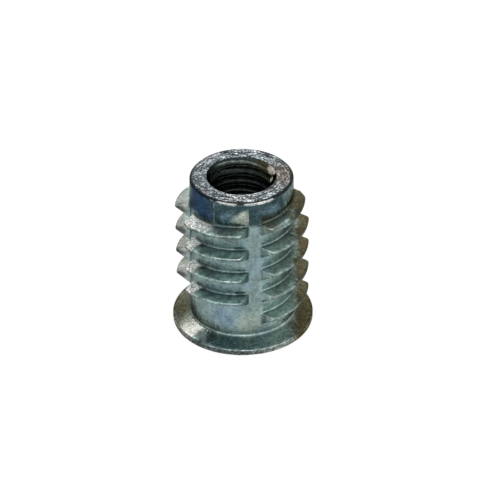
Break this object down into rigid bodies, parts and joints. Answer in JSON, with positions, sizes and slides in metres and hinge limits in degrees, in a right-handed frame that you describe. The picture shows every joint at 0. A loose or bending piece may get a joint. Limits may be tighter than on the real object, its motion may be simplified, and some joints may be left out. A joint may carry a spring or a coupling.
{
  "type": "flanged threaded insert",
  "caption": "Flanged metal insert with a coarse interrupted wood thread outside, a tapped bore inside and a hexagon drive socket in its flange end.",
  "frame": {"origin": "centre of the flange face, on which the insert stands", "axes": "+Z along the bore, from the flange to the pilot collar; the plain strips lie on +X, -X, +Y and -Y, and the wood thread starts in the strip on -Y"},
  "size_m": [0.0126, 0.0126, 0.015],
  "materials": {
    "passivated_zinc": "die cast zinc with a thin clear blue passivation, grainy on the cast faces"
  },
  "bodies": {
    "root": {"insert_body": "passivated_zinc"}
  },
  "joints": []
}
